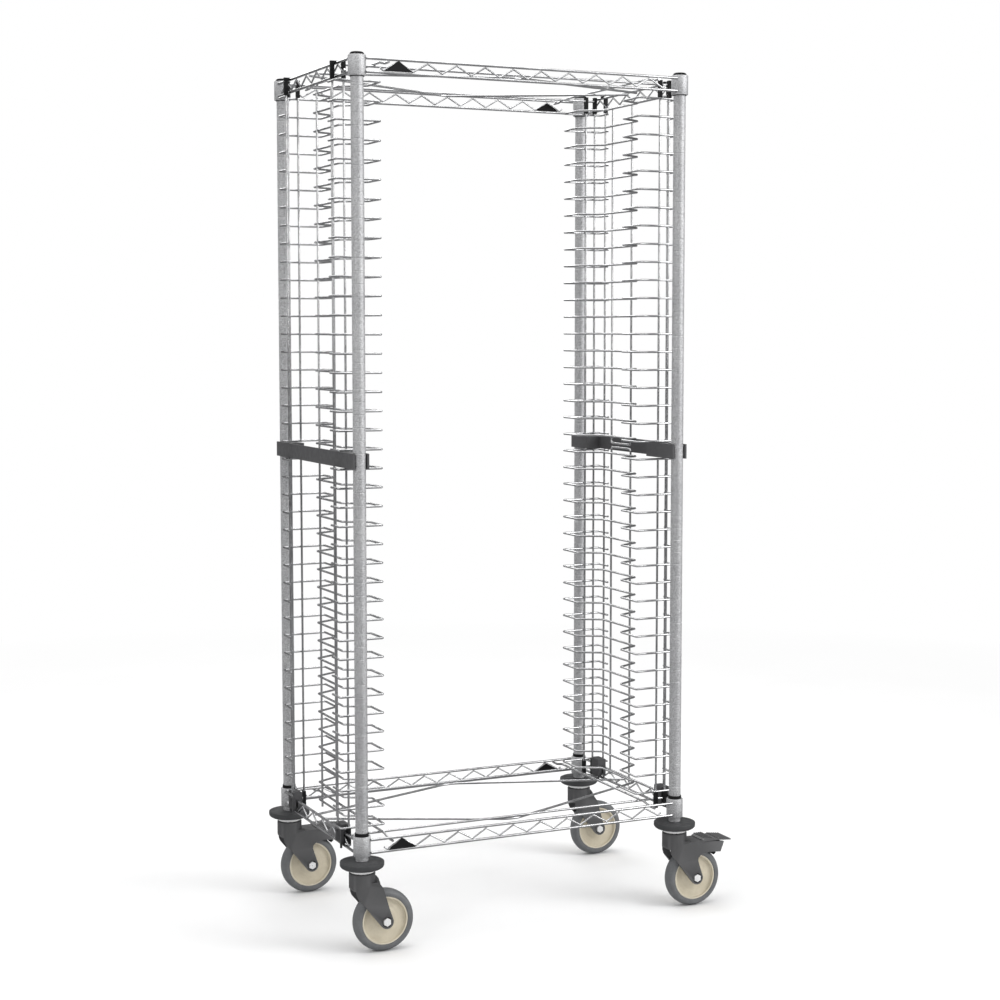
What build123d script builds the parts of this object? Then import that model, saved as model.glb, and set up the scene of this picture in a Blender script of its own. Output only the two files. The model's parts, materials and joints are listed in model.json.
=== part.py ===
from build123d import *
from math import atan2, cos, pi, radians, sin
import os

# Side-load sheet pan rack on four swivel casters.  Millimetres, +Z up, origin on the floor midway
# between the four posts, X along the open loading side, Y from front to rear.

# ---- posts and overall layout ----
POST_X = 359.2              # half the post spacing along the loading side
POST_Y = 223.7              # half the post spacing from front to rear
POST_D = 25.4
POST_BORE = 22.4
POST_BOTTOM = 188.3
GROOVE_PITCH = 25.4
GROOVE_WIDTH = 1.8
GROOVE_DEPTH = 0.45

# ---- top and bottom frames ----
FRAME_Z_BOTTOM = 218.4      # mid height of each frame's collars and rails
FRAME_Z_TOP = 1751.0
COLLAR_H = 40.2
COLLAR_D = 35.0
COLLAR_BORE = 28.5
RAIL_D = 5.6
RAIL_HALF_GAP = 13.0        # upper and lower rail wires lie this far from mid height
RAIL_OFFSET = 13.5          # rails run outboard of the post axes
RAIL_END = 14.2             # a rail wire stops this far short of the post axis
TRUSS_D = 3.6
TRUSS_PITCH = 62.0
TRUSS_BEND = 3.5
INNER_D = 5.0
LENGTHWISE_Y = 167.0
CROSSWISE_X = 300.0
BRACE_END_Y = 18.0
BRACE_BEND = 60.0
TOUCH = 0.04                # welded wires stop this short of each other

# ---- split sleeves and post caps ----
SLEEVE_D = 28.4
SLEEVE_SLIT = 0.8
SLEEVE_RING = 6.6           # part of a bottom sleeve that stands above its collar
SLEEVE_FOOT = 1.4           # part of a top sleeve that shows under its collar
CAP_H = 5.6

# ---- pan slides ----
LEVELS_PER_UNIT = 20
LEVEL_PITCH = 38.1
TOP_LEVEL_Z = 1729.0
SLIDE_D = 4.5
SLIDE_BEND = 3.4
LEDGE_X = 291.5             # inner edge that a pan rests on
GUIDE_X = 341.5             # long run that guides the end of a pan
LOOP_X = 384.0              # outer return of each slide wire
LEDGE_Y = 173.0
LEDGE_BACK_Y = 104.0
GUIDE_Y = 75.0
LOOP_END_Y = 130.0
LOOP_ROD_Y = 141.0
ROD_D = 4.5
ROD_XS = (344.0, 366.2)
ROD_OVER = 2.3              # uprights pass the end levels of a unit by this much
ROD_TAIL = 8.0              # lower unit uprights reach this far under the lowest level
U_ROD_Y = 44.0
U_BEND = 5.0
U_GAP_TOP = 990.0
U_GAP_BOTTOM = 981.0

# ---- clips, clamps, badges and mid straps ----
CLIP_W = 6.6
CLIP_DEPTH = 9.5
CLIP_TOP = 1767.5
CLIP_BOTTOM = 206.5
FIT = 0.06                  # play between a moulded clip and the wire in it
CLAMP_X = (361.0, 381.4)
CLAMP_Y = (131.0, 163.0)
CLAMP_Z = (208.6, 249.0)
BADGE_T = 1.6
BADGE_H = 19.8
BADGE_BASE = 59.0
STRAP_X = (342.3, 376.4)
STRAP_Z = (970.6, 1001.3)
STRAP_WALL = 4.2
STRAP_END_Y = 234.0
STRAP_FRONT_BLOCK_Y = 121.0
STRAP_REAR_BLOCK_Y = 152.0

# ---- casters ----
WHEEL_R = 63.5
AXLE_Z = WHEEL_R
TRAIL = 43.8
BUMPER_D = 88.9
BUMPER_Z = (173.6, 188.0)
RACE_D = 50.0
RACE_Z = (166.0, 173.4)
STEM_D = 22.2
STEM_TOP = 262.0
KINGPIN_D = 12.0
KINGPIN_BOTTOM = 121.5
BALL_D = 6.0
BALL_RING_R = 18.0
BALL_COUNT = 12
HEAD_D = 53.0
HEAD_Z = (131.0, 165.0)
LEG_IN = 18.0
LEG_OUT = 25.0
LEG_END_R = 14.0
TYRE_HALF_W = 15.0
TYRE_BORE_R = 48.9
CORE_R = 48.85
CORE_HALF_W = 13.4
AXLE_D = 10.0
AXLE_PLAY = 0.05
BUSH_D = 16.0
BOLT_AF = 15.0
BOLT_HEAD_H = 5.8
POCKET_R = 10.2
POCKET_DEPTH = 4.0

# ---- wheel brakes ----
ARM_TOP = 143.7
ARM_TIP_X = 110.0
PEDAL_X = (57.0, 127.0)
PEDAL_Z = 141.2
PEDAL_T = 3.4
PEDAL_HALF_W = 24.4
PIVOT_X = 84.0
PIVOT_Z = 134.0
PIVOT_D = 5.0
SHOE_GAP = 1.5
SHOE_T = 7.0
SHOE_HALF_W = 11.0
SHOE_ANGLES = (41.0, 66.0)
PIN_HALF = 22.3             # the pivot pin is hidden in blind holes in the arm walls

CORNERS = {
    "front_left": (-1, -1),
    "front_right": (1, -1),
    "rear_left": (-1, 1),
    "rear_right": (1, 1),
}
BRAKED = ("front_right", "rear_left")
FRAMES = {"top": FRAME_Z_TOP, "bottom": FRAME_Z_BOTTOM}


# ---- small helpers ----

def save(name, *shapes):
    """Write one node: its separate solids together in one STEP file."""
    solids = [s for shape in shapes for s in shape.solids()]
    body = solids[0] if len(solids) == 1 else Compound(children=solids)
    export_step(body, f"parts/{name}.step")


def rod(start, end, diameter):
    """Straight round wire between two points."""
    start, end = Vector(*start), Vector(*end)
    along = end - start
    return Solid.make_cylinder(diameter / 2, along.length, Plane(origin=start, z_dir=along))


def bent_wire(points, bend, diameter):
    """Round wire along straight runs joined by tangent bends."""
    path = FilletPolyline(*points, radius=bend)
    section = Plane(origin=path @ 0, z_dir=path % 0) * Circle(diameter / 2)
    return sweep(section, path=path)


def block(x, y, z):
    """Box between pairs of limits given in any order."""
    size = [abs(b - a) for a, b in (x, y, z)]
    centre = [(a + b) / 2 for a, b in (x, y, z)]
    return Pos(*centre) * Box(*size)


def turned(profile):
    """Solid of revolution about Z from (radius, height) points."""
    return revolve(Plane.XZ * make_face(Polyline(*profile, close=True)), Axis.Z)


def flipped(pair, sign):
    """A pair of positive limits moved to the side that sign says."""
    return (sign * pair[0], sign * pair[1])


def side_plate(points, y_in, y_out):
    """Plate cut to an outline in X and Z, lying between two values of Y."""
    face = Plane.XZ.offset(-y_out) * make_face(Polyline(*points, close=True))
    return extrude(face, amount=y_out - y_in)


# ---- posts ----

def post():
    """Tube with a ring groove every inch, for the split sleeves to lock into."""
    top = FRAME_Z_TOP + COLLAR_H / 2
    outer = POST_D / 2
    points = [(POST_BORE / 2, POST_BOTTOM), (outer, POST_BOTTOM)]
    z = POST_BOTTOM + GROOVE_PITCH
    while z < top - GROOVE_PITCH / 2:
        points.append((outer, z - GROOVE_WIDTH / 2))
        points.append((outer - GROOVE_DEPTH, z - GROOVE_WIDTH / 4))
        points.append((outer - GROOVE_DEPTH, z + GROOVE_WIDTH / 4))
        points.append((outer, z + GROOVE_WIDTH / 2))
        z += GROOVE_PITCH
    points += [(outer, top), (POST_BORE / 2, top)]
    return turned(points)


def post_cap():
    """Moulded plug: a spigot in the tube under a low bevelled dome."""
    top = FRAME_Z_TOP + COLLAR_H / 2 + 0.1
    spigot = POST_BORE / 2 - 0.1
    rim = SLEEVE_D / 2
    profile = [
        (0, top - 16), (spigot, top - 16), (spigot, top), (rim, top), (rim, top + CAP_H * 0.45),
        (rim - 2.2, top + CAP_H * 0.9), (rim - 5, top + CAP_H), (0, top + CAP_H),
    ]
    return turned(profile)


# ---- frames ----

def collar(frame_z):
    """Welded corner collar of a frame, slightly eased at both ends."""
    low, high = frame_z - COLLAR_H / 2, frame_z + COLLAR_H / 2
    bore, outer = COLLAR_BORE / 2, COLLAR_D / 2
    profile = [
        (bore, low), (outer - 0.6, low), (outer, low + 0.8), (outer, high - 0.8),
        (outer - 0.6, high), (bore, high),
    ]
    return turned(profile)


def split_sleeve(frame_z, foot, ring):
    """Two plastic half shells between post and collar, showing below or above the collar."""
    low = frame_z - COLLAR_H / 2 - foot
    high = frame_z + COLLAR_H / 2 + ring
    shell = turned([
        (POST_D / 2 + 0.06, low), (SLEEVE_D / 2, low), (SLEEVE_D / 2, high), (POST_D / 2 + 0.06, high),
    ])
    slit = block((-SLEEVE_D, SLEEVE_D), (-SLEEVE_SLIT / 2, SLEEVE_SLIT / 2), (low - 1, high + 1))
    return shell - slit


def zigzag(half_length, flat_to_world):
    """Bent truss wire between two rails, its free ends turned up a little."""
    half_turn = atan2(2 * truss_reach(), TRUSS_PITCH / 2)
    corner = truss_reach() + TRUSS_BEND * (1 / cos(half_turn) - 1)
    last = int(half_length // (TRUSS_PITCH / 2))
    last -= last % 2
    points = [(-last * TRUSS_PITCH / 2 - 7, -corner + 4.5)]
    for step in range(-last, last + 1):
        points.append((step * TRUSS_PITCH / 2, corner if step % 2 else -corner))
    points.append((last * TRUSS_PITCH / 2 + 7, -corner + 4.5))
    return bent_wire([flat_to_world(u, v) for u, v in points], TRUSS_BEND, TRUSS_D)


def truss_reach():
    """Height of the zigzag's crests above mid height, touching the rail wires."""
    return RAIL_HALF_GAP - RAIL_D / 2 - TRUSS_D / 2 - TOUCH


def lengthwise_truss(frame_z, side):
    """Front (side -1) or rear (side 1) rail pair with its zigzag."""
    y = side * (POST_Y + RAIL_OFFSET)
    reach = POST_X - RAIL_END
    rails = [
        rod((-reach, y, frame_z + dz), (reach, y, frame_z + dz), RAIL_D)
        for dz in (RAIL_HALF_GAP, -RAIL_HALF_GAP)
    ]
    return rails + [zigzag(reach - 20, lambda u, v: (u, y, frame_z + v))]


def crosswise_truss(frame_z, side):
    """Left (side -1) or right (side 1) rail pair with its zigzag."""
    x = side * (POST_X + RAIL_OFFSET)
    reach = POST_Y - RAIL_END
    rails = [
        rod((x, -reach, frame_z + dz), (x, reach, frame_z + dz), RAIL_D)
        for dz in (RAIL_HALF_GAP, -RAIL_HALF_GAP)
    ]
    return rails + [zigzag(reach - 20, lambda u, v: (x, u, frame_z + v))]


def lengthwise_z(frame_z):
    """Inner lengthwise wires hang under the upper rail wires."""
    return frame_z + RAIL_HALF_GAP - RAIL_D / 2 - INNER_D / 2 - TOUCH


def inner_wires(frame_z):
    """Two straight lengthwise wires, and two crosswise wires whose ends dip under the rails."""
    low = lengthwise_z(frame_z)
    high = low + INNER_D + TOUCH
    end_x = POST_X + RAIL_OFFSET - TRUSS_D / 2 - 0.2
    tip_y = POST_Y + RAIL_OFFSET + 4.5
    wires = [rod((-end_x, y, low), (end_x, y, low), INNER_D) for y in (-LENGTHWISE_Y, LENGTHWISE_Y)]
    for x in (-CROSSWISE_X, CROSSWISE_X):
        points = [
            (x, -tip_y, low), (x, -tip_y + 22, low), (x, -tip_y + 48, high),
            (x, tip_y - 48, high), (x, tip_y - 22, low), (x, tip_y, low),
        ]
        wires.append(bent_wire(points, 12, INNER_D))
    return wires


def brace_wires(frame_z):
    """Two bent wires that make a long diamond from side rail to side rail."""
    end_z = lengthwise_z(frame_z)
    mid_z = end_z - INNER_D - 0.5
    end_x = POST_X + RAIL_OFFSET - TRUSS_D / 2 - 0.2
    half_turn = atan2(LENGTHWISE_Y - BRACE_END_Y, end_x)
    peak_y = LENGTHWISE_Y + BRACE_BEND * (1 / cos(half_turn) - 1)
    wires = []
    for side in (-1, 1):
        points = [
            (-end_x, side * BRACE_END_Y, end_z), (0, side * peak_y, mid_z),
            (end_x, side * BRACE_END_Y, end_z),
        ]
        wires.append(bent_wire(points, BRACE_BEND, INNER_D))
    return wires


def badge(frame_z, corner_sign):
    """Plain plate against the outside of the truss wire, in the triangle nearest one end of a rail."""
    half, base = BADGE_BASE / 2, -BADGE_H / 2 - 0.1
    outline = [(-half, base), (half, base), (half - 3, base + 2), (2, base + BADGE_H), (-2, base + BADGE_H),
               (3 - half, base + 2)]
    back = POST_Y + RAIL_OFFSET + TRUSS_D / 2 + TOUCH
    plate = side_plate(outline, *sorted((corner_sign * back, corner_sign * (back + BADGE_T))))
    return Pos(corner_sign * TRUSS_PITCH * 4.5, 0, frame_z) * plate


# ---- pan slides ----

def slide_wire(side, z):
    """One level: a guide run with a ledge tongue at each end, returned to the outside."""
    half = [
        (LOOP_X, -LOOP_END_Y), (LOOP_X, -LEDGE_Y), (LEDGE_X, -LEDGE_Y), (LEDGE_X, -LEDGE_BACK_Y),
        (GUIDE_X, -GUIDE_Y),
    ]
    outline = half + [(x, -y) for x, y in reversed(half)]
    return bent_wire([(side * x, y, z) for x, y in outline], SLIDE_BEND, SLIDE_D)


def level_z(level):
    """Height of a level, counted down from the top one."""
    return TOP_LEVEL_Z - LEVEL_PITCH * level


def unit_reach(first, last):
    """Lowest and highest end of the upright rods of the slide unit with these levels."""
    tail = ROD_OVER if first == 0 else ROD_TAIL
    head = 9.0 if first == 0 else ROD_OVER
    return level_z(last) - tail, level_z(first) + head


def slide_unit(side, first):
    """One welded unit: its slide wires and the straight uprights inside their loops."""
    last = first + LEVELS_PER_UNIT - 1
    low, high = unit_reach(first, last)
    wires = [slide_wire(side, level_z(level)) for level in range(first, last + 1)]
    rod_y = LEDGE_Y - SLIDE_D / 2 - ROD_D / 2 - TOUCH
    loop_x = LOOP_X - SLIDE_D / 2 - ROD_D / 2 - TOUCH
    places = [(x, rod_y) for x in ROD_XS] + [(loop_x, LOOP_ROD_Y)]
    for x, y in places:
        for end in (-1, 1):
            wires.append(rod((side * x, end * y, low), (side * x, end * y, high), ROD_D))
    return wires


def u_upright(side, first):
    """Middle pair of uprights of a unit, one rod bent into a U at the gap between the units."""
    low, high = unit_reach(first, first + LEVELS_PER_UNIT - 1)
    x = side * (GUIDE_X + SLIDE_D / 2 + ROD_D / 2 + TOUCH)
    turn, open_end = (U_GAP_TOP, high - 6.5) if first == 0 else (U_GAP_BOTTOM, low)
    points = [(x, -U_ROD_Y, open_end), (x, -U_ROD_Y, turn), (x, U_ROD_Y, turn), (x, U_ROD_Y, open_end)]
    return bent_wire(points, U_BEND, ROD_D)


# ---- clips and clamps that hold the slides to the frames ----

def rod_bore(x, y, z_limits):
    """Cutter for the upright rod that ends inside a clip."""
    low, high = sorted(z_limits)
    return rod((x, y, low), (x, y, high), ROD_D + 2 * FIT)


def wire_clip(x, end, z_limits, wire_z, rod_limits):
    """Moulded bar over a lengthwise wire, with a socket for the end of an upright."""
    y = end * (LEDGE_Y - SLIDE_D / 2 - ROD_D / 2 - TOUCH)
    bar = block((x - CLIP_W / 2, x + CLIP_W / 2), (y - CLIP_DEPTH / 2, y + CLIP_DEPTH / 2), z_limits)
    wire = rod((x - CLIP_W, end * LENGTHWISE_Y, wire_z), (x + CLIP_W, end * LENGTHWISE_Y, wire_z),
               INNER_D + 2 * FIT)
    return bar - wire - rod_bore(x, y, rod_limits)


def rail_hook(side, end):
    """Hook over the upper side rail, with a socket for the outer upright."""
    rail_x = POST_X + RAIL_OFFSET
    rod_x = LOOP_X - SLIDE_D / 2 - ROD_D / 2 - TOUCH
    low = TOP_LEVEL_Z + SLIDE_D / 2 + 0.2
    rail_z = FRAME_Z_TOP + RAIL_HALF_GAP
    y = (end * LOOP_ROD_Y - CLIP_W / 2, end * LOOP_ROD_Y + CLIP_W / 2)
    plate = block(flipped((rail_x + RAIL_D / 2 + 0.3, rod_x + 4.2), side), y, (low, rail_z + 4.8))
    lip = block(flipped((rail_x - RAIL_D / 2 - 1.8, rod_x), side), y, (rail_z, rail_z + 4.8))
    rail = rod((side * rail_x, y[0] - 1, rail_z), (side * rail_x, y[1] + 1, rail_z), RAIL_D + 2 * FIT)
    socket = rod_bore(side * rod_x, end * LOOP_ROD_Y, (low - 1, TOP_LEVEL_Z + 9.0 + 0.2))
    return plate + lip - rail - socket


def hanging_clips():
    """Clips and hooks that hang the upper slide units from the top frame."""
    low = TOP_LEVEL_Z + SLIDE_D / 2 + 0.2
    wire_z = lengthwise_z(FRAME_Z_TOP)
    pieces = []
    for side in (-1, 1):
        for end in (-1, 1):
            for x in ROD_XS:
                socket = (low - 1, TOP_LEVEL_Z + 9.0 + 0.2)
                pieces.append(wire_clip(side * x, end, (low, CLIP_TOP), wire_z, socket))
            pieces.append(rail_hook(side, end))
    return pieces


def lower_clips():
    """Clips that tie the lower slide units down to the bottom frame."""
    high = level_z(2 * LEVELS_PER_UNIT - 1) - SLIDE_D / 2 - 0.2
    wire_z = lengthwise_z(FRAME_Z_BOTTOM)
    socket = (level_z(2 * LEVELS_PER_UNIT - 1) - ROD_TAIL - 0.2, high + 1)
    return [
        wire_clip(side * x, end, (CLIP_BOTTOM, high), wire_z, socket)
        for side in (-1, 1) for end in (-1, 1) for x in ROD_XS
    ]


def rail_clamp(side, end):
    """Block that straddles a bottom side rail and traps the outer upright, with two pegs."""
    rail_x = POST_X + RAIL_OFFSET
    rail_z = FRAME_Z_BOTTOM + RAIL_HALF_GAP
    rod_x = LOOP_X - SLIDE_D / 2 - ROD_D / 2 - TOUCH
    y = flipped(CLAMP_Y, end)
    body = block(flipped(CLAMP_X, side), y, CLAMP_Z)
    body = chamfer(body.edges().filter_by(Axis.Y), 2.0)
    reach = (min(y) - 1, max(y) + 1)
    body -= rod((side * rail_x, reach[0], rail_z), (side * rail_x, reach[1], rail_z), RAIL_D + 2 * FIT)
    slot_half = TRUSS_D / 2 + 0.3
    body -= block(flipped((rail_x - slot_half, rail_x + slot_half), side), reach, (CLAMP_Z[0] - 1, rail_z))
    body -= rod_bore(side * rod_x, end * LOOP_ROD_Y, (CLAMP_Z[0] + 20, CLAMP_Z[1] + 1))
    for x, peg_y in ((CLAMP_X[0] + 4.4, CLAMP_Y[0] + 6), (CLAMP_X[1] - 2.8, CLAMP_Y[1] - 6)):
        body += rod((side * x, end * peg_y, CLAMP_Z[0] - 9), (side * x, end * peg_y, CLAMP_Z[0] + 1), 5.0)
    return body


def mid_strap(side):
    """Moulded strap across a side between the slide units, with a jaw round each post."""
    wall = block((side * (STRAP_X[1] - STRAP_WALL), side * STRAP_X[1]), (-STRAP_END_Y, STRAP_END_Y), STRAP_Z)
    for end, inner_y in ((-1, STRAP_FRONT_BLOCK_Y), (1, STRAP_REAR_BLOCK_Y)):
        wall += block(flipped(STRAP_X, side), (end * inner_y, end * STRAP_END_Y), STRAP_Z)
        bore_r = POST_D / 2 + 0.1
        at = (side * POST_X, end * POST_Y)
        wall -= rod((*at, STRAP_Z[0] - 1), (*at, STRAP_Z[1] + 1), 2 * bore_r)
        mouth = (end * POST_Y, end * (STRAP_END_Y + 1))
        wall -= block((at[0] - bore_r, at[0] + bore_r), mouth, (STRAP_Z[0] - 1, STRAP_Z[1] + 1))
    return wall


# ---- casters, each made about its own swivel axis and trailing towards +X ----

def stem():
    """Stem up inside the post, flange plate and kingpin with its riveted end, in one piece."""
    pin, body = KINGPIN_D / 2, STEM_D / 2
    return turned([
        (0, KINGPIN_BOTTOM), (9, KINGPIN_BOTTOM), (9, HEAD_Z[0] - 5), (pin, HEAD_Z[0] - 3),
        (pin, RACE_Z[0]), (body - 0.1, RACE_Z[0]), (body - 0.1, STEM_TOP - 4), (body - 3, STEM_TOP),
        (0, STEM_TOP),
    ])


def bumper():
    """Rubber doughnut under the post."""
    outer, bore = BUMPER_D / 2, STEM_D / 2 + 0.1
    low, high = BUMPER_Z
    return turned([
        (bore, low), (outer - 5, low), (outer - 1.2, low + 2.0), (outer, low + 4.5), (outer, high - 3.4),
        (outer - 2.6, high - 0.9), (outer - 7, high), (bore, high),
    ])


def raceway():
    """Plated upper race, with a shallow track for the balls."""
    outer, bore = RACE_D / 2, STEM_D / 2 + 0.1
    low, high = RACE_Z
    return turned([
        (bore, low), (outer - 1.5, low), (outer, low + 1.5), (outer, high - 1.0), (outer - 1.0, high),
        (bore, high),
    ])


def race_balls():
    """Ring of balls between the race and the fork head."""
    z = RACE_Z[0] - BALL_D / 2 - 0.05
    balls = []
    for number in range(BALL_COUNT):
        turn = 2 * pi * number / BALL_COUNT
        balls.append(Pos(BALL_RING_R * cos(turn), BALL_RING_R * sin(turn), z) * Sphere(BALL_D / 2))
    return balls


def leg_outline():
    """Side outline of the legs: slanted front edge, round end about the axle, steep rear edge."""
    front = HEAD_D / 2
    end = [(TRAIL + LEG_END_R * cos(radians(a)), AXLE_Z + LEG_END_R * sin(radians(a)))
           for a in range(-150, 11, 20)]
    return [(-front, HEAD_Z[0] + 9.0), (-15.0, 115.0), (-2.0, 99.5)] + end + [
        (48.5, 92.0), (42.5, 112.0), (36.5, 133.0), (front, 147.0), (-front, 147.0)]


def arm_outline():
    """Side outline of the brake arm that runs back over the wheel."""
    return [(20.0, ARM_TOP), (PEDAL_X[0] - 0.6, ARM_TOP), (PEDAL_X[0] - 0.6, 140.4), (PIVOT_X, 140.4),
            (ARM_TIP_X, 136.9), (101.5, 115.5), (72.0, 118.0), (54.0, 115.5), (46.5, 108.0),
            (45.0, 98.0), (20.0, 98.0)]


def legs():
    """Two legs: flat beside the wheel, and flush with the round head in front of the swivel axis."""
    slab = side_plate(leg_outline(), -LEG_OUT, LEG_OUT)
    column = Pos(0, 0, 100) * Cylinder(HEAD_D / 2, 120)
    rear = block((0, 100), (-LEG_OUT, LEG_OUT), (40, 160))
    slot = block((-HEAD_D, 100), (-LEG_IN, LEG_IN), (40, HEAD_Z[0]))
    return (slab & (column + rear)) - slot


def brake_arm():
    """Hollow arm behind the head: two walls, a roof up to the pedal, and a slanted end wall."""
    arm = side_plate(arm_outline(), -LEG_OUT, -LEG_IN) + side_plate(arm_outline(), LEG_IN, LEG_OUT)
    roof = [(20, ARM_TOP), (PEDAL_X[0] - 0.6, ARM_TOP), (PEDAL_X[0] - 0.6, 139.0), (20, 139.0)]
    arm += side_plate(roof, -LEG_IN, LEG_IN)
    wall = [(ARM_TIP_X - 0.6, 135.4), (101.5, 115.5), (98.3, 115.8), (106.4, 136.0)]
    arm += side_plate(wall, -LEG_IN, LEG_IN)
    half = PIN_HALF + 0.2
    return arm - rod((PIVOT_X, -half, PIVOT_Z), (PIVOT_X, half, PIVOT_Z), PIVOT_D + 0.04)


def fork(braked):
    """Moulded fork: round head, two legs, and a brake arm or a small lug behind the head."""
    height = HEAD_Z[1] - HEAD_Z[0] - 9.0
    body = Pos(0, 0, HEAD_Z[1] - height / 2) * Cylinder(HEAD_D / 2, height)
    body = chamfer(body.edges().group_by(Axis.Z)[-1], 1.2)
    body += legs()
    if braked:
        body += brake_arm()
    else:
        lug = [(20, 158.5), (27, 157.0), (31.5, 151.5), (35.0, 141.5), (36.5, 133.0), (20, 133.0)]
        body += side_plate(lug, -9, 9)
    body -= Pos(0, 0, sum(HEAD_Z) / 2) * Cylinder(KINGPIN_D / 2 + AXLE_PLAY, 3 * (HEAD_Z[1] - HEAD_Z[0]))
    inner, outer = BALL_RING_R - BALL_D / 2 - 0.4, BALL_RING_R + BALL_D / 2 + 0.4
    floor = RACE_Z[0] - BALL_D - 0.1
    body -= turned([(inner, floor), (outer, floor), (outer, HEAD_Z[1] + 1), (inner, HEAD_Z[1] + 1)])
    body -= rod((TRAIL, -LEG_OUT - 1, AXLE_Z), (TRAIL, LEG_OUT + 1, AXLE_Z), AXLE_D + 2 * AXLE_PLAY)
    for y in (-1, 1):
        face = y * LEG_OUT
        body -= rod((TRAIL, face - y * POCKET_DEPTH, AXLE_Z), (TRAIL, face + y, AXLE_Z), 2 * POCKET_R)
    return body


def hexagon(side, seat, height):
    """Hexagon prism on the axle with a corner upwards, its outer edge eased."""
    plane = Plane(origin=(TRAIL, side * seat, AXLE_Z), x_dir=(0, 0, 1), z_dir=(0, side, 0))
    prism = extrude(plane * RegularPolygon(BOLT_AF / 2, 6, major_radius=False), amount=height)
    return chamfer(prism.faces().sort_by(Axis.Y)[0 if side < 0 else -1].edges(), 0.6)


def axle():
    """Axle bolt with a hexagon head at the front and its nut at the back."""
    seat = LEG_OUT - POCKET_DEPTH
    shank = rod((TRAIL, -seat - 1, AXLE_Z), (TRAIL, seat + 8, AXLE_Z), AXLE_D)
    bolt = shank + hexagon(-1, seat, BOLT_HEAD_H)
    nut = hexagon(1, seat, BOLT_HEAD_H)
    nut -= rod((TRAIL, seat - 1, AXLE_Z), (TRAIL, seat + 9, AXLE_Z), AXLE_D + 0.06)
    return [bolt, nut]


def about_axle(profile):
    """Solid of revolution about the axle from (radius, distance along the axle) points."""
    face = Plane.XY * make_face(Polyline(*profile, close=True))
    return Pos(TRAIL, 0, AXLE_Z) * revolve(face, Axis.Y)


def tyre():
    """Soft tread with a rounded crown."""
    w = TYRE_HALF_W
    edge = [(TYRE_BORE_R, w - 1.2), (TYRE_BORE_R + 1.2, w - 0.3), (55.0, w), (58.2, w - 1.3),
            (60.8, w - 3.9), (62.5, w - 7.4), (63.3, w - 11.2), (WHEEL_R, 0)]
    return about_axle(edge + [(r, -y) for r, y in reversed(edge[:-1])])


def wheel_core():
    """Moulded wheel centre with a raised rim lip, a dished web and a hub."""
    w = CORE_HALF_W
    bore = BUSH_D / 2 + 0.03
    edge = [(bore, 17.2), (11.5, 17.2), (13.0, 13.6), (17.0, 11.0), (25.0, 9.6), (27.0, 8.2),
            (38.0, 7.0), (42.6, 7.6), (45.0, 9.6), (45.8, w), (47.8, w + 0.4), (CORE_R, w - 0.6)]
    return about_axle(edge + [(r, -y) for r, y in reversed(edge)])


def hub_bush():
    """Bearing sleeve pressed in the wheel centre, turning on the axle bolt."""
    return about_axle([(AXLE_D / 2 + AXLE_PLAY, -17.6), (BUSH_D / 2, -17.6), (BUSH_D / 2, 17.6),
                       (AXLE_D / 2 + AXLE_PLAY, 17.6)])


# ---- brakes ----

def pedal():
    """Rocker plate with two ribbed treads, and two ears on the pivot pin."""
    x0, x1 = PEDAL_X
    top = PEDAL_Z + PEDAL_T
    tread = top + 3.4
    outline = [(x0, PEDAL_Z), (98.0, PEDAL_Z), (x1, PEDAL_Z - 2.6), (x1 + 1.2, PEDAL_Z - 0.6),
               (94.0, top + 0.6), (87.0, top - 1.4), (82.0, tread), (62.0, tread), (x0, top + 0.4)]
    plate = side_plate(outline, -PEDAL_HALF_W, PEDAL_HALF_W)
    for number in range(4):
        x = 62.6 + 5.2 * number
        plate += block((x, x + 2.4), (-PEDAL_HALF_W, PEDAL_HALF_W), (tread - 2, tread + 1.6))
    for number in range(6):
        x = 95.0 + 5.4 * number
        z = top + 0.6 - (x - 94.0) * 0.135
        plate += block((x, x + 2.4), (-PEDAL_HALF_W, PEDAL_HALF_W), (z - 2.4, z + 1.5))
    for y in (-1, 1):
        ear = [(PIVOT_X - 6, PEDAL_Z + 1), (PIVOT_X - 4.2, PIVOT_Z - 2.8), (PIVOT_X, PIVOT_Z - 4.6),
               (PIVOT_X + 4.2, PIVOT_Z - 2.8), (PIVOT_X + 6, PEDAL_Z + 1)]
        plate += side_plate(ear, *sorted((y * 13.0, y * 16.6)))
    plate -= rod((PIVOT_X, -20, PIVOT_Z), (PIVOT_X, 20, PIVOT_Z), PIVOT_D + 2 * AXLE_PLAY)
    return plate


def pivot_pin():
    """Pin through the arm walls and the pedal's ears."""
    return rod((PIVOT_X, -PIN_HALF, PIVOT_Z), (PIVOT_X, PIN_HALF, PIVOT_Z), PIVOT_D)


def shoe():
    """Curved brake shoe held just clear of the tyre inside the arm."""
    inner = WHEEL_R + SHOE_GAP
    first, last = SHOE_ANGLES
    ring = about_axle([(inner, -SHOE_HALF_W), (inner + SHOE_T, -SHOE_HALF_W), (inner + SHOE_T, SHOE_HALF_W),
                       (inner, SHOE_HALF_W)])
    far = 200.0
    wedge = [(TRAIL, AXLE_Z)]
    for angle in (first, last):
        wedge.append((TRAIL + far * cos(radians(angle)), AXLE_Z + far * sin(radians(angle))))
    return ring & side_plate(wedge, -SHOE_HALF_W - 1, SHOE_HALF_W + 1)


# ---- assembly ----

def at_corners(make):
    """The same piece at each of the four posts."""
    return [Pos(sx * POST_X, sy * POST_Y, 0) * make() for sx, sy in CORNERS.values()]


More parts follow.
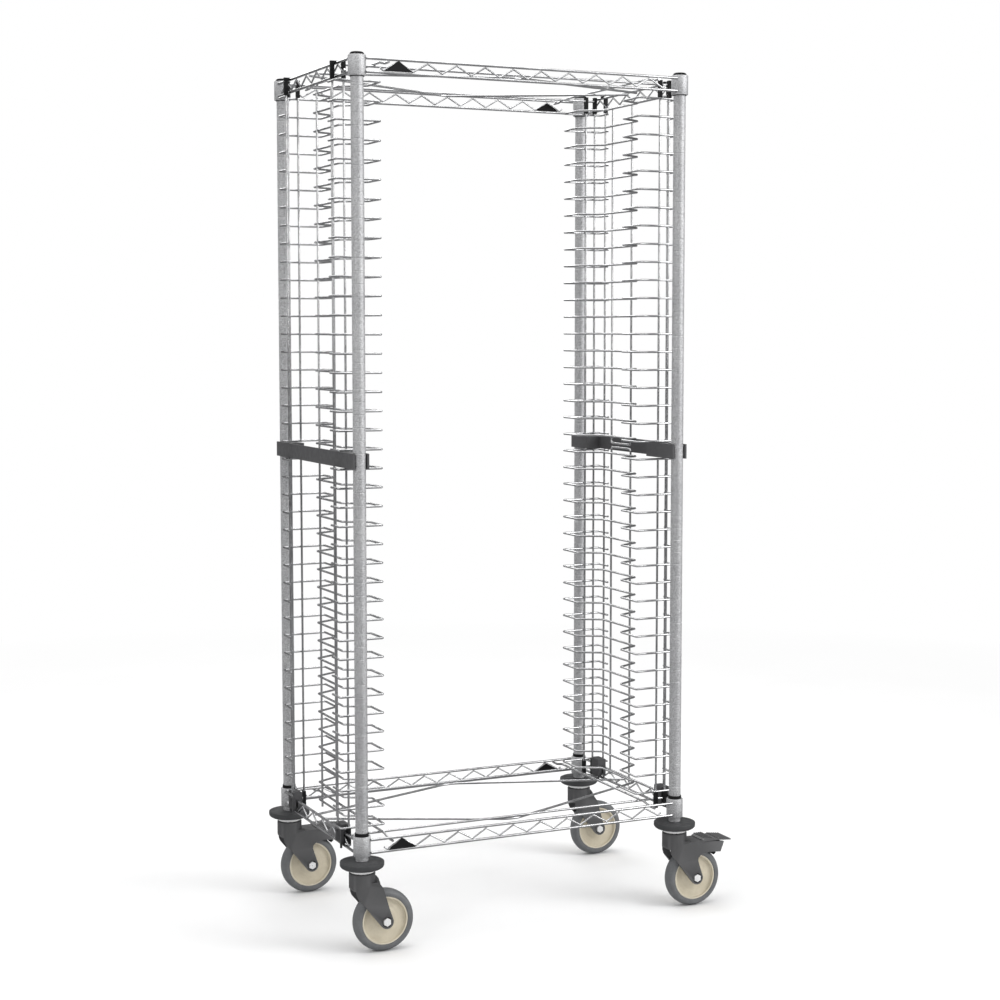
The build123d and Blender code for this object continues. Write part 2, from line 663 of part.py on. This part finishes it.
def write_frames():
    """Everything that belongs to the top and the bottom frame."""
    for name, z in FRAMES.items():
        save(f"{name}_collars", *at_corners(lambda: collar(z)))
        shows = (0, SLEEVE_RING) if name == "bottom" else (SLEEVE_FOOT, 0)
        save(f"{name}_split_sleeves", *at_corners(lambda: split_sleeve(z, *shows)))
        for place, side in (("front", -1), ("rear", 1)):
            save(f"{name}_{place}_truss", *lengthwise_truss(z, side))
        for place, side in (("left", -1), ("right", 1)):
            save(f"{name}_{place}_truss", *crosswise_truss(z, side))
        save(f"{name}_inner_wires", *inner_wires(z))
        save(f"{name}_brace_wires", *brace_wires(z))
        save(f"{name}_badge_plates", badge(z, -1), badge(z, 1))


def write_slides():
    """Slide units, their U rods, and what holds them."""
    for place, side in (("left", -1), ("right", 1)):
        save(f"{place}_upper_slides", *slide_unit(side, 0))
        save(f"{place}_lower_slides", *slide_unit(side, LEVELS_PER_UNIT))
        save(f"{place}_mid_strap", mid_strap(side))
    u_rods = [u_upright(side, first) for side in (-1, 1) for first in (0, LEVELS_PER_UNIT)]
    save("slide_u_rods", *u_rods)
    save("hanging_clips", *hanging_clips())
    save("lower_clips", *lower_clips())
    save("rail_clamps", *[rail_clamp(side, end) for side in (-1, 1) for end in (-1, 1)])


def write_posts():
    """Posts, caps, and the parts of the casters that stay with the posts."""
    for name, (sx, sy) in CORNERS.items():
        save(f"{name}_post", Pos(sx * POST_X, sy * POST_Y, 0) * post())
    save("post_caps", *at_corners(post_cap))
    save("caster_stems", *at_corners(stem))
    save("doughnut_bumpers", *at_corners(bumper))
    save("swivel_races", *at_corners(raceway))
    balls = [Pos(sx * POST_X, sy * POST_Y, 0) * ball for sx, sy in CORNERS.values() for ball in race_balls()]
    save("race_balls", *balls)


def write_casters():
    """The swivelling and rolling pieces of each caster, trailing towards +X."""
    for name, (sx, sy) in CORNERS.items():
        place = Pos(sx * POST_X, sy * POST_Y, 0)
        braked = name in BRAKED
        save(f"{name}_fork", place * fork(braked))
        save(f"{name}_axle_bolt", *[place * piece for piece in axle()])
        save(f"{name}_tyre", place * tyre())
        save(f"{name}_wheel_core", place * wheel_core(), place * hub_bush())
        if braked:
            save(f"{name}_brake_pedal", place * pedal())
            save(f"{name}_brake_shoe", place * shoe())
            save(f"{name}_pedal_pin", place * pivot_pin())


os.makedirs("parts", exist_ok=True)
write_posts()
write_frames()
write_slides()
write_casters()
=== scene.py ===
import json
import math

import bpy
from mathutils import Matrix, Vector


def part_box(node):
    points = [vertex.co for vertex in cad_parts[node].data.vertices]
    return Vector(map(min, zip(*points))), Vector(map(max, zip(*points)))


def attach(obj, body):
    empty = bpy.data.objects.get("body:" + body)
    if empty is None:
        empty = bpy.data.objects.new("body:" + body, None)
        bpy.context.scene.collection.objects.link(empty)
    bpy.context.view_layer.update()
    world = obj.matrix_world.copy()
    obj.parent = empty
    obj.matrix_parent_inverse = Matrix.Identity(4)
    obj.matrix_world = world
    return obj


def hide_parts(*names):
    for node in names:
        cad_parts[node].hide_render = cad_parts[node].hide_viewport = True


# The looks of a side-load sheet pan rack.  Metres, +Z up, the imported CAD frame's own axes.

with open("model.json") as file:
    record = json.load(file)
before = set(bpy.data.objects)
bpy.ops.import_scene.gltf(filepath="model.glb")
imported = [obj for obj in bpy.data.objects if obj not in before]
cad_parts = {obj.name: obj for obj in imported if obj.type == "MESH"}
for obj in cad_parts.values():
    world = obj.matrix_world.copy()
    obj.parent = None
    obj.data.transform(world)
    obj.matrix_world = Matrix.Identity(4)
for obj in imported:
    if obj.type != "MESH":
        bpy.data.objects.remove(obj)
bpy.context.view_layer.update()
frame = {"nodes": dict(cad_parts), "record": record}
record = frame["record"]
RACK = "rack"
CORNERS = ("front_left", "front_right", "rear_left", "rear_right")
MM = 0.001
SHARP = math.radians(32)         # edges that turn more than this stay sharp
YAW, PITCH = 0.4421, 0.0823      # the camera's turn from +Y towards +X, and its dip
EYE = (-1.6887, -3.7219, 1.2459)  # the camera's place


# ---- node materials ----

class Graph:
    """A material's node tree with short calls for the nodes used here."""

    def __init__(self, name):
        self.material = bpy.data.materials.new(name)
        self.material.use_nodes = True
        self.tree = self.material.node_tree
        self.shader = self.tree.nodes["Principled BSDF"]
        self.place = self.add("ShaderNodeTexCoord").outputs["Object"]

    def add(self, kind, **settings):
        node = self.tree.nodes.new(kind)
        for key, value in settings.items():
            setattr(node, key, value)
        return node

    def join(self, start, end):
        self.tree.links.new(start, end)

    def stretched(self, scale):
        """Object coordinates scaled by a different amount on each axis."""
        node = self.add("ShaderNodeMapping")
        node.inputs["Scale"].default_value = scale
        self.join(self.place, node.inputs["Vector"])
        return node.outputs["Vector"]

    def noise(self, scale, detail=3.0, where=None, rough=0.5):
        node = self.add("ShaderNodeTexNoise")
        node.inputs["Scale"].default_value = scale
        node.inputs["Detail"].default_value = detail
        node.inputs["Roughness"].default_value = rough
        self.join(where or self.place, node.inputs["Vector"])
        return node.outputs["Fac"]

    def ramp(self, value, stops):
        """Colour between stops, each a position with a colour."""
        node = self.add("ShaderNodeValToRGB")
        while len(node.color_ramp.elements) < len(stops):
            node.color_ramp.elements.new(0.5)
        for element, (position, colour) in zip(node.color_ramp.elements, stops):
            element.position = position
            element.color = (*colour, 1)
        self.join(value, node.inputs["Fac"])
        return node.outputs["Color"]

    def span(self, value, low, high, source=(0.3, 0.7)):
        """A value spread over a range."""
        node = self.add("ShaderNodeMapRange")
        node.inputs["From Min"].default_value = source[0]
        node.inputs["From Max"].default_value = source[1]
        node.inputs["To Min"].default_value = low
        node.inputs["To Max"].default_value = high
        self.join(value, node.inputs["Value"])
        return node.outputs["Result"]

    def bump(self, height, strength, distance, under=None):
        node = self.add("ShaderNodeBump")
        node.inputs["Strength"].default_value = strength
        node.inputs["Distance"].default_value = distance
        self.join(height, node.inputs["Height"])
        if under is not None:
            self.join(under, node.inputs["Normal"])
        return node.outputs["Normal"]

    def multiply(self, colour, shade):
        node = self.add("ShaderNodeMix", data_type="RGBA", blend_type="MULTIPLY")
        node.inputs["Factor"].default_value = 1.0
        self.join(colour, node.inputs["A"])
        self.join(shade, node.inputs["B"])
        return node.outputs["Result"]

    def worn_edges(self, colour, edge_colour, low, high):
        """Colour that turns to another one along the sharp edges."""
        edge = self.add("ShaderNodeNewGeometry").outputs["Pointiness"]
        node = self.add("ShaderNodeMix", data_type="RGBA")
        self.join(self.span(edge, 0.0, 1.0, (low, high)), node.inputs["Factor"])
        self.join(colour, node.inputs["A"])
        node.inputs["B"].default_value = (*edge_colour, 1)
        return node.outputs["Result"]

    def finish(self, colour, roughness, normal, **sockets):
        self.join(colour, self.shader.inputs["Base Color"])
        self.join(roughness, self.shader.inputs["Roughness"])
        self.join(normal, self.shader.inputs["Normal"])
        for key, value in sockets.items():
            self.shader.inputs[key.replace("_", " ")].default_value = value
        return self.material


def plated_wire(name, dark, light, smooth, dull, metal=1.0):
    """Bright plating: long soft patches of tone, faint drawing lines and small pits."""
    g = Graph(name)
    tone = g.ramp(g.noise(26.0, 4.0), [(0.30, dark), (0.72, light)])
    pits = g.noise(900.0, 2.0)
    tone = g.multiply(tone, g.ramp(pits, [(0.25, (0.86, 0.86, 0.87)), (0.45, (1, 1, 1))]))
    rough = g.span(g.noise(140.0, 3.0), smooth, dull)
    normal = g.bump(pits, 0.05, 0.00004, g.bump(g.noise(60.0, 2.0), 0.05, 0.0002))
    return g.finish(tone, rough, normal, Metallic=metal)


def plated_post(name):
    """Satin plating with fine turning rings round the tube and a sandy sparkle."""
    g = Graph(name)
    rings = g.noise(1.0, 2.0, g.stretched((3.0, 3.0, 2400.0)))
    grain = g.noise(650.0, 3.0)
    patches = g.noise(9.0, 3.0)
    tone = g.ramp(grain, [(0.36, (0.40, 0.402, 0.407)), (0.60, (0.84, 0.843, 0.85))])
    tone = g.multiply(tone, g.ramp(patches, [(0.3, (0.84, 0.84, 0.85)), (0.7, (1, 1, 1))]))
    rough = g.span(grain, 0.52, 0.72)
    normal = g.bump(grain, 0.30, 0.00006, g.bump(rings, 0.22, 0.00005))
    return g.finish(tone, rough, normal, Metallic=0.85)


def moulded(name, dark, light, edge, smooth, dull, grain=1400.0, depth=0.00006, **sockets):
    """Moulded plastic or rubber: a fine spark-eroded grain, cloudy tone and paler worn edges."""
    g = Graph(name)
    cloud = g.noise(38.0, 4.0, rough=0.6)
    tone = g.ramp(cloud, [(0.28, dark), (0.74, light)])
    fine = g.noise(grain, 2.0)
    tone = g.multiply(tone, g.ramp(fine, [(0.2, (0.88, 0.88, 0.88)), (0.6, (1, 1, 1))]))
    tone = g.worn_edges(tone, edge, 0.53, 0.66)
    rough = g.span(g.noise(95.0, 3.0), smooth, dull)
    normal = g.bump(fine, 0.35, depth, g.bump(cloud, 0.06, 0.0004))
    return g.finish(tone, rough, normal, **sockets)


def tread_rubber(name):
    """Grey rolling rubber, dusty in cloudy patches, with hair-fine scuffs."""
    g = Graph(name)
    cloud = g.noise(55.0, 5.0, rough=0.65)
    tone = g.ramp(cloud, [(0.28, (0.115, 0.12, 0.125)), (0.72, (0.165, 0.17, 0.175))])
    scuff = g.noise(420.0, 6.0, rough=0.75)
    tone = g.multiply(tone, g.ramp(scuff, [(0.30, (0.82, 0.82, 0.83)), (0.55, (1, 1, 1))]))
    rough = g.span(cloud, 0.40, 0.62)
    normal = g.bump(scuff, 0.16, 0.00012, g.bump(cloud, 0.08, 0.0004))
    return g.finish(tone, rough, normal)


MATERIALS = {
    "post_chrome": plated_post("post_plating"),
    "wire_chrome": plated_wire("wire_plating", (0.47, 0.472, 0.478), (0.72, 0.723, 0.73), 0.12, 0.26),
    "bright_steel": plated_wire("zinc_plating", (0.88, 0.88, 0.88), (0.97, 0.97, 0.965), 0.26, 0.42,
                                metal=0.35),
    "black_plastic": moulded("black_moulding", (0.003, 0.003, 0.0033), (0.006, 0.006, 0.0065),
                             (0.014, 0.014, 0.015), 0.40, 0.56, Specular_IOR_Level=0.12),
    "dark_plastic": moulded("strap_moulding", (0.024, 0.024, 0.025), (0.036, 0.036, 0.038),
                            (0.08, 0.08, 0.083), 0.36, 0.52, Specular_IOR_Level=0.25),
    "fork_plastic": moulded("fork_moulding", (0.058, 0.058, 0.060), (0.070, 0.070, 0.072),
                            (0.12, 0.12, 0.123), 0.42, 0.56, Specular_IOR_Level=0.35),
    "pedal_plastic": moulded("pedal_moulding", (0.060, 0.060, 0.062), (0.080, 0.080, 0.083),
                             (0.15, 0.15, 0.153), 0.38, 0.52, Specular_IOR_Level=0.35),
    "bumper_rubber": moulded("bumper_rubber", (0.044, 0.045, 0.047), (0.058, 0.059, 0.061),
                             (0.09, 0.092, 0.095), 0.50, 0.66, grain=1000.0, depth=0.0001,
                             Specular_IOR_Level=0.3),
    "tread_rubber": tread_rubber("tread_rubber"),
    "core_plastic": moulded("core_moulding", (0.55, 0.49, 0.37), (0.66, 0.60, 0.47),
                            (0.78, 0.73, 0.62), 0.34, 0.50, grain=1100.0, depth=0.00008),
}


# ---- smooth shading of the CAD pieces, without touching their meshes ----

def smoothing_group():
    """Node group that shades a mesh smooth except across its sharp edges."""
    group = bpy.data.node_groups.new("smooth_by_angle", "GeometryNodeTree")
    group.interface.new_socket("Geometry", in_out="INPUT", socket_type="NodeSocketGeometry")
    group.interface.new_socket("Geometry", in_out="OUTPUT", socket_type="NodeSocketGeometry")
    nodes, links = group.nodes, group.links
    start, end = nodes.new("NodeGroupInput"), nodes.new("NodeGroupOutput")
    merge = nodes.new("GeometryNodeMergeByDistance")
    merge.inputs["Distance"].default_value = 1e-6
    angle = nodes.new("GeometryNodeInputMeshEdgeAngle")
    gentle = nodes.new("FunctionNodeCompare")
    gentle.operation = "LESS_THAN"
    gentle.inputs["B"].default_value = SHARP
    faces = nodes.new("GeometryNodeSetShadeSmooth")
    edges = nodes.new("GeometryNodeSetShadeSmooth")
    edges.domain = "EDGE"
    links.new(start.outputs[0], merge.inputs["Geometry"])
    links.new(merge.outputs["Geometry"], faces.inputs["Geometry"])
    links.new(faces.outputs["Geometry"], edges.inputs["Geometry"])
    links.new(angle.outputs["Unsigned Angle"], gentle.inputs["A"])
    links.new(gentle.outputs["Result"], edges.inputs["Shade Smooth"])
    links.new(edges.outputs["Geometry"], end.inputs[0])
    return group


def dress_cad_nodes():
    """Every carried-over CAD node gets its slot's material and soft shading."""
    slots = {s["node"]: s["material_slot"] for s in record["subparts"]}
    smooth = smoothing_group()
    for name, node in frame["nodes"].items():
        node.data.materials.clear()
        node.data.materials.append(MATERIALS[slots[name]])
        modifier = node.modifiers.new("smooth", "NODES")
        modifier.node_group = smooth


# ---- turned pieces, rebuilt finely ----

def lathe(name, loops, centres, slot_name, node, steps=64, body=RACK, lay=None):
    """One mesh of closed profiles turned about upright axes; profiles are (radius, height) loops."""
    verts, faces = [], []
    for cx, cy in centres:
        for loop in loops:
            first = len(verts)
            count = len(loop)
            for radius, z in loop:
                for k in range(steps):
                    a = 2 * math.pi * k / steps
                    verts.append((cx + radius * math.cos(a), cy + radius * math.sin(a), z))
            for i in range(count):
                low, high = first + i * steps, first + (i + 1) % count * steps
                for k in range(steps):
                    n = (k + 1) % steps
                    faces.append((low + k, low + n, high + n, high + k))
    mesh = bpy.data.meshes.new(name)
    mesh.from_pydata(verts, [], faces)
    mesh.validate()
    if lay is not None:
        mesh.transform(lay)
    mesh.shade_smooth()
    mesh.set_sharp_from_angle(angle=SHARP)
    piece = bpy.data.objects.new(name, mesh)
    bpy.context.scene.collection.objects.link(piece)
    mesh.materials.append(MATERIALS[slot_name])
    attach(piece, body)
    if node is not None:
        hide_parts(node)
    return piece


def middle(node):
    """Centre of a node in plan."""
    low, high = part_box(node)
    return (low.x + high.x) / 2, (low.y + high.y) / 2


POSTS = [middle(f"{c}_post") for c in CORNERS]


def turn_posts():
    """Each post: a tube with eased ring grooves every inch."""
    for corner, centre in zip(CORNERS, POSTS):
        low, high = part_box(f"{corner}_post")
        r = (high.x - low.x) / 2
        bore, pitch, depth = r - 1.5 * MM, 25.4 * MM, 0.45 * MM
        loop = [(bore, low.z), (r - 0.4 * MM, low.z), (r, low.z + 0.4 * MM)]
        z = low.z + pitch
        while z < high.z - pitch / 2:
            for dz, cut in ((-1.1, 0), (-0.75, 0.55), (-0.3, 1), (0.3, 1), (0.75, 0.55), (1.1, 0)):
                loop.append((r - cut * depth, z + dz * MM))
            z += pitch
        loop += [(r, high.z), (bore, high.z)]
        lathe(f"{corner}_post_tube", [loop], [centre], "post_chrome", f"{corner}_post", 48)


def turn_caps():
    """Post caps: a bevelled dome with a small rolled rim."""
    low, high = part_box("post_caps")
    post_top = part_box("front_left_post")[1].z
    r = (high.x - low.x) / 2 - POSTS[1][0]
    top = high.z
    near_axis = 0.2 * MM
    outer = [(near_axis, low.z), (r - 3.2 * MM, low.z), (r - 3.2 * MM, post_top + 0.1 * MM),
             (r - 0.3 * MM, post_top + 0.1 * MM), (r, post_top + 0.5 * MM),
             (r, post_top + 2.2 * MM), (r - 0.5 * MM, post_top + 3.1 * MM),
             (r - 2.2 * MM, top - 0.9 * MM), (r - 3.6 * MM, top - 0.3 * MM),
             (r - 5.5 * MM, top), (near_axis, top)]
    lathe("post_cap_domes", [outer], POSTS, "black_plastic", "post_caps")


def turn_collars():
    """Frame collars with rounded lips."""
    for level in ("top", "bottom"):
        low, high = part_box(f"{level}_collars")
        r = (high.x - low.x) / 2 - POSTS[1][0]
        bore = r - 3.25 * MM
        loop = [(bore, low.z), (r - 1.0 * MM, low.z),
                (r - 0.3 * MM, low.z + 0.3 * MM), (r, low.z + 1.0 * MM),
                (r, high.z - 1.0 * MM), (r - 0.3 * MM, high.z - 0.3 * MM),
                (r - 1.0 * MM, high.z), (bore, high.z)]
        lathe(f"{level}_collar_rings", [loop], POSTS, "post_chrome", f"{level}_collars")


def turn_bumpers():
    """Doughnut bumpers: a full round edge with a bevel on top."""
    low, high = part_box("doughnut_bumpers")
    r = (high.x - low.x) / 2 - POSTS[1][0]
    bore = 11.2 * MM
    z0, z1 = low.z, high.z
    loop = [(bore, z0), (r - 8.5 * MM, z0), (r - 5.2 * MM, z0 + 0.8 * MM),
            (r - 2.4 * MM, z0 + 2.6 * MM), (r - 0.5 * MM, z0 + 5.0 * MM), (r, z0 + 6.6 * MM),
            (r, z1 - 1.7 * MM), (r - 0.3 * MM, z1 - 1.0 * MM), (r - 1.0 * MM, z1 - 0.6 * MM),
            (r - 4.0 * MM, z1 - 0.1 * MM), (r - 7.0 * MM, z1), (bore, z1)]
    lathe("bumper_rings", [loop], POSTS, "bumper_rubber", "doughnut_bumpers", 96)


def turn_races():
    """Plated swivel races."""
    low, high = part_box("swivel_races")
    r = (high.x - low.x) / 2 - POSTS[1][0]
    bore = 11.2 * MM
    loop = [(bore, low.z), (r - 2.0 * MM, low.z), (r - 0.6 * MM, low.z + 0.5 * MM), (r, low.z + 1.8 * MM),
            (r, high.z - 1.4 * MM), (r - 0.5 * MM, high.z - 0.4 * MM), (r - 1.4 * MM, high.z), (bore, high.z)]
    lathe("race_rings", [loop], POSTS, "bright_steel", "swivel_races", 80)


def paint_bolt_pocket_shade():
    """Thin dark rings in the round pocket about each bolt head and nut: painted shade, a dark piece standing
    for the shadow in the recess.
    """
    for corner, (_, y) in zip(CORNERS, POSTS):
        low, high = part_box(f"{corner}_wheel_core")
        axle = Vector(((low.x + high.x) / 2, y, (low.z + high.z) / 2))
        for side, end in ((-1, "front"), (1, "back")):
            turn = Matrix.Translation(axle) @ Matrix.Rotation(math.radians(-90 * side), 4, "X")
            # an L in section, as (radius, distance out from the wheel's middle) in millimetres
            loop = [(8.75, 21.05), (10.1, 21.05), (10.1, 24.6), (9.6, 24.6), (9.6, 21.5), (8.75, 21.5)]
            loop = [(radius * MM, out * MM) for radius, out in loop]
            # painted shade: a dark ring where the recess only holds shadow
            lathe(f"{corner}_{end}_pocket_shade_ring", [loop], [(0, 0)], "black_plastic", None, 48,
                  f"{corner}_swivel", turn)


# ---- studio ----

def pale_floor():
    """Plain round pale floor; its far part glows softly, so that it meets the white surroundings unseen."""
    reach, sides = 40.0, 64
    glow_from, glow_full = 1.2, 4.0      # metres from the middle
    rim = [(reach * math.cos(2 * math.pi * k / sides), reach * math.sin(2 * math.pi * k / sides), 0)
           for k in range(sides)]
    mesh = bpy.data.meshes.new("floor")
    mesh.from_pydata(rim, [], [tuple(range(sides))])
    floor = bpy.data.objects.new("floor", mesh)
    bpy.context.scene.collection.objects.link(floor)
    g = Graph("pale_floor")
    soft = g.noise(3.0, 2.0)
    tone = g.ramp(soft, [(0.3, (0.93, 0.93, 0.93)), (0.7, (0.95, 0.95, 0.95))])
    g.finish(tone, g.span(soft, 0.75, 0.85), g.bump(soft, 0.02, 0.0005))
    away = g.add("ShaderNodeVectorMath", operation="LENGTH")
    g.join(g.place, away.inputs[0])
    path = g.add("ShaderNodeLightPath")
    glow, dim = g.add("ShaderNodeEmission"), g.add("ShaderNodeBsdfDiffuse")
    dim.inputs["Color"].default_value = (0.27, 0.27, 0.275, 1)
    far, mix = g.add("ShaderNodeMixShader"), g.add("ShaderNodeMixShader")
    g.join(g.span(away.outputs["Value"], 0.0, 1.0, (glow_from, glow_full)), far.inputs["Fac"])
    g.join(g.shader.outputs[0], far.inputs[1])
    g.join(glow.outputs[0], far.inputs[2])
    g.join(path.outputs["Is Glossy Ray"], mix.inputs["Fac"])
    g.join(far.outputs[0], mix.inputs[1])
    g.join(dim.outputs[0], mix.inputs[2])
    g.join(mix.outputs[0], g.tree.nodes["Material Output"].inputs["Surface"])
    mesh.materials.append(g.material)


def panel(name, place, target, size, power):
    """Soft rectangular light that faces a point."""
    light = bpy.data.lights.new(name, "AREA")
    light.shape = "RECTANGLE"
    light.size, light.size_y = size
    light.energy = power
    lamp = bpy.data.objects.new(name, light)
    lamp.location = place
    lamp.rotation_mode = "QUATERNION"
    lamp.rotation_quaternion = (Vector(place) - Vector(target)).to_track_quat("Z", "Y")
    bpy.context.scene.collection.objects.link(lamp)


def studio_world():
    """White to the camera; banded light and dark, like a studio, to the plating's reflections."""
    world = bpy.data.worlds.new("studio")
    world.use_nodes = True
    tree = world.node_tree
    nodes, links = tree.nodes, tree.links
    nodes.clear()
    coord = nodes.new("ShaderNodeTexCoord")
    split = nodes.new("ShaderNodeSeparateXYZ")
    height = nodes.new("ShaderNodeValToRGB")
    stops = [(0.0, 0.04), (0.46, 0.06), (0.50, 0.50), (0.60, 0.80), (0.80, 1.1), (1.0, 1.2)]
    shift = nodes.new("ShaderNodeMapRange")
    shift.inputs["From Min"].default_value = -1.0
    while len(height.color_ramp.elements) < len(stops):
        height.color_ramp.elements.new(0.5)
    for element, (position, value) in zip(height.color_ramp.elements, stops):
        element.position = position
        element.color = (value, value, value, 1)
    wave = nodes.new("ShaderNodeTexGradient")
    wave.gradient_type = "RADIAL"
    bands = nodes.new("ShaderNodeValToRGB")
    marks = [(0.0, 0.95), (0.13, 0.10), (0.20, 0.22), (0.27, 1.0), (0.40, 0.9), (0.52, 0.08),
             (0.60, 0.35), (0.68, 0.20), (0.78, 0.15), (0.88, 1.0), (1.0, 0.95)]
    while len(bands.color_ramp.elements) < len(marks):
        bands.color_ramp.elements.new(0.5)
    for element, (position, value) in zip(bands.color_ramp.elements, marks):
        element.position = position
        element.color = (value, value, value, 1)
    both = nodes.new("ShaderNodeMix")
    both.data_type, both.blend_type = "RGBA", "MULTIPLY"
    both.inputs["Factor"].default_value = 1.0
    path = nodes.new("ShaderNodeLightPath")
    room, page = nodes.new("ShaderNodeBackground"), nodes.new("ShaderNodeBackground")
    room.inputs["Strength"].default_value = 1.0
    page.inputs["Color"].default_value = (1, 1, 1, 1)
    page.inputs["Strength"].default_value = 1.0
    choose, out = nodes.new("ShaderNodeMixShader"), nodes.new("ShaderNodeOutputWorld")
    links.new(coord.outputs["Generated"], split.inputs[0])
    links.new(split.outputs["Z"], shift.inputs["Value"])
    links.new(shift.outputs["Result"], height.inputs["Fac"])
    links.new(coord.outputs["Generated"], wave.inputs["Vector"])
    links.new(wave.outputs["Fac"], bands.inputs["Fac"])
    links.new(height.outputs["Color"], both.inputs["A"])
    links.new(bands.outputs["Color"], both.inputs["B"])
    links.new(both.outputs["Result"], room.inputs["Color"])
    links.new(path.outputs["Is Camera Ray"], choose.inputs["Fac"])
    links.new(room.outputs[0], choose.inputs[1])
    links.new(page.outputs[0], choose.inputs[2])
    links.new(choose.outputs[0], out.inputs["Surface"])
    bpy.context.scene.world = world


def camera():
    """Viewpoint left of the open front, a little above mid height."""
    data = bpy.data.cameras.new("camera")
    data.lens = 68.7
    data.sensor_width = 36.0
    data.shift_x, data.shift_y = -0.00995, -0.01429
    data.clip_end = 100.0
    cam = bpy.data.objects.new("camera", data)
    ahead = Vector((math.sin(YAW) * math.cos(PITCH), math.cos(YAW) * math.cos(PITCH), -math.sin(PITCH)))
    right = Vector((math.cos(YAW), -math.sin(YAW), 0))
    up = right.cross(ahead)
    turn = Matrix((right, up, -ahead)).transposed().to_4x4()
    cam.matrix_world = Matrix.Translation(EYE) @ turn
    bpy.context.scene.collection.objects.link(cam)
    bpy.context.scene.camera = cam


camera()
dress_cad_nodes()
turn_posts()
turn_caps()
turn_collars()
turn_bumpers()
turn_races()
# painted shade: dark rings standing for the shadow in the bolt pockets
paint_bolt_pocket_shade()
pale_floor()
studio_world()
centre = (0, 0, 0.9)
panel("key", (3.4, -3.4, 2.6), centre, (2.2, 2.6), 105)
panel("fill", (-3.6, -2.6, 2.2), centre, (1.2, 2.4), 26)
panel("back", (0.5, 3.8, 3.2), centre, (3.0, 1.2), 40)
panel("over", (0, 0, 5.0), (0, 0, 0), (3.5, 3.5), 110)
bpy.context.scene.view_settings.view_transform = "Standard"
